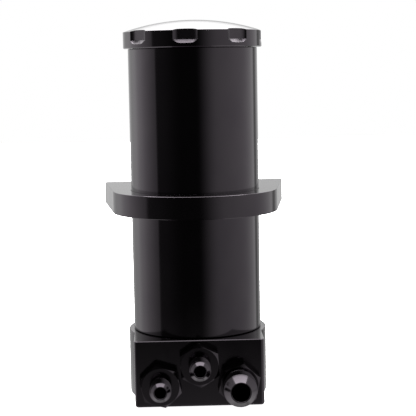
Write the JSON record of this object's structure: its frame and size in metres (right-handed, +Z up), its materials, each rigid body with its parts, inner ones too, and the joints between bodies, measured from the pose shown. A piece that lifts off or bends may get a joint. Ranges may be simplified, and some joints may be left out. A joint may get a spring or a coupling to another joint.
{
  "type": "hydraulic reservoir",
  "caption": "Upright black anodised hydraulic tank with a ported base block, screw cap, internal return filter and flat-backed mounting bracket.",
  "frame": {"origin": "on the tank's axis, in the plane of the flat underside of the base", "axes": "+Z up along the tank's axis, +Y to the flat back of the mounting bracket, so the ports face -Y, and +X to the feed port's side"},
  "size_m": [0.1322, 0.1443, 0.2588],
  "materials": {
    "black_anodised": "polished, black anodised",
    "black_steel": "black oxide",
    "bare_aluminium": "as machined",
    "zinc_steel": "zinc plated",
    "spring_steel": "bright drawn wire",
    "nitrile_rubber": "moulded",
    "filter_paper": "pleated resin-bonded paper"
  },
  "bodies": {
    "reservoir": {"base_manifold": "black_anodised", "tank_spigot": "black_anodised", "reservoir_tube": "black_anodised", "tube_base_seal": "nitrile_rubber", "mounting_bracket": "black_anodised", "set_screw_left": "black_steel", "set_screw_right": "black_steel", "return_fitting_left": "black_anodised", "return_fitting_middle": "black_anodised", "feed_fitting": "black_anodised", "return_seal_left": "nitrile_rubber", "return_seal_middle": "nitrile_rubber", "feed_seal": "nitrile_rubber", "gallery_cover": "bare_aluminium", "gallery_cover_screw_1": "zinc_steel", "gallery_cover_screw_2": "zinc_steel", "gallery_cover_screw_3": "zinc_steel", "stand_pipe": "bare_aluminium", "baffle_plate": "bare_aluminium", "baffle_nut": "zinc_steel", "filter_spring": "spring_steel", "spring_seat": "zinc_steel", "stud_nut": "zinc_steel"},
    "filter_element": {"filter_lower_cap": "zinc_steel", "filter_lower_grommet": "nitrile_rubber", "filter_media": "filter_paper", "filter_core": "zinc_steel", "filter_upper_cap": "zinc_steel", "filter_upper_grommet": "nitrile_rubber"},
    "cap_ring": {"cap_seal": "nitrile_rubber"},
    "screw_cap": {"cap": "black_anodised"}
  },
  "joints": [
    {"name": "cap_rise", "type": "slide", "parent": "reservoir", "child": "cap_ring", "axis": [0, 0, 1], "range_m": [0, 0.0106]},
    {"name": "cap_turn", "type": "hinge", "parent": "cap_ring", "child": "screw_cap", "pos_m": [0, 0, 0.2398], "axis": [0, 0, 1], "range_deg": [0, 1800]},
    {"name": "filter_bypass", "type": "slide", "parent": "reservoir", "child": "filter_element", "axis": [0, 0, 1], "range_m": [0, 0.003], "stiffness_N_per_m": 600, "springref_m": -0.008, "deforming": ["filter_spring"]}
  ],
  "couplings": [
    {"joint": "cap_rise", "follows": "cap_turn", "m_per_rad": 0.00033688}
  ]
}
